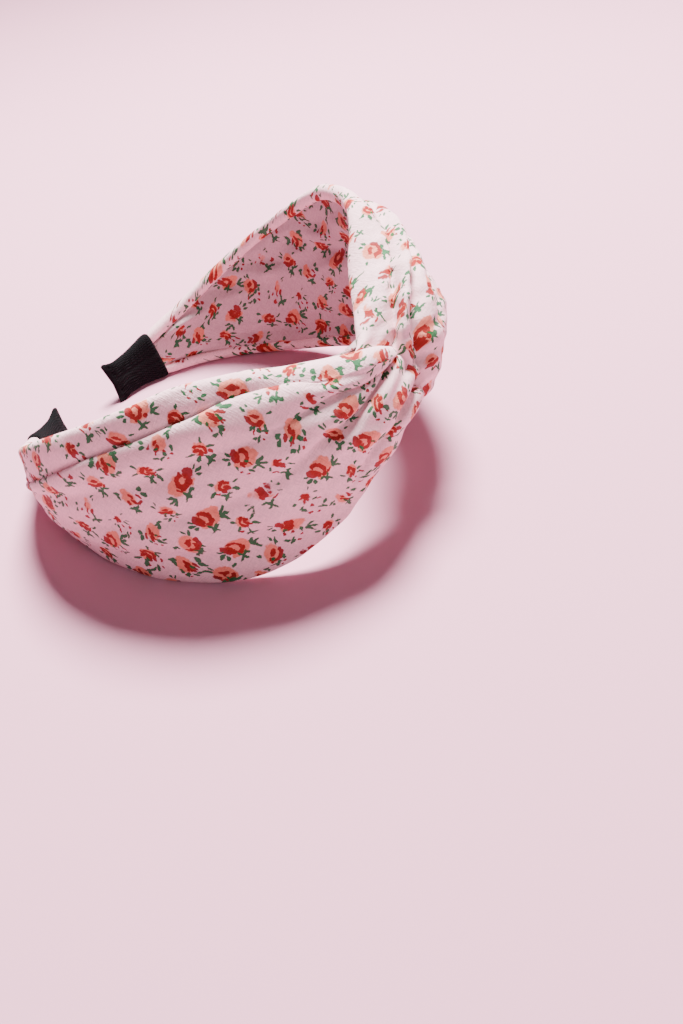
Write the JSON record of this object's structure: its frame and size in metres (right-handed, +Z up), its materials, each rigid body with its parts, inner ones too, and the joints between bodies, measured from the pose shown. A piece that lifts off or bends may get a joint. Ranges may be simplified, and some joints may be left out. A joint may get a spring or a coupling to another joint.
{
  "type": "knotted headband",
  "caption": "Wide printed fabric headband on a springy hoop: padded wraps from both arms hook round each other in a crown knot, and black sleeves cover the tips.",
  "frame": {"origin": "on the table, under the middle of the band's box, with the band lying on its side", "axes": "+Z up; +X from the open tips towards the knot; +Y towards the right arm, as seen from outside the knot. The hoop's own plane is tilted 18 degrees, because the band rests on both lower rims and its right tip"},
  "size_m": [0.138, 0.1494, 0.0755],
  "materials": {
    "printed_fabric": "fine twill, matt with a soft sheen",
    "printed_lining": "fine twill, matt",
    "hoop_plastic": "plain moulded",
    "sponge": "open soft foam",
    "black_knit": "ribbed knit, matt",
    "sewing_thread": "spun thread"
  },
  "bodies": {
    "crown": {"hoop_crown": "hoop_plastic", "lining_crown": "printed_lining", "knot_tack_thread": "sewing_thread", "knot_hook_left": "printed_fabric", "knot_hook_right": "printed_fabric"},
    "left_arm": {"hoop_arm_left": "hoop_plastic", "sponge_pad_left": "sponge", "fabric_wrap_left": "printed_fabric", "lining_left": "printed_lining", "tip_sleeve_left": "black_knit"},
    "right_arm": {"hoop_arm_right": "hoop_plastic", "sponge_pad_right": "sponge", "fabric_wrap_right": "printed_fabric", "lining_right": "printed_lining", "tip_sleeve_right": "black_knit"}
  },
  "joints": [
    {"name": "left_arm_flex", "type": "hinge", "parent": "crown", "child": "left_arm", "pos_m": [0.05174, -0.02359, 0.04707], "axis": [-0.3154, 0.022, 0.9487], "range_deg": [-4, 14], "stiffness_Nm_per_rad": 0.9},
    {"name": "right_arm_flex", "type": "hinge", "parent": "crown", "child": "right_arm", "pos_m": [0.05191, 0.02399, 0.04602], "axis": [0.3154, -0.022, -0.9487], "range_deg": [-4, 14], "stiffness_Nm_per_rad": 0.9}
  ]
}
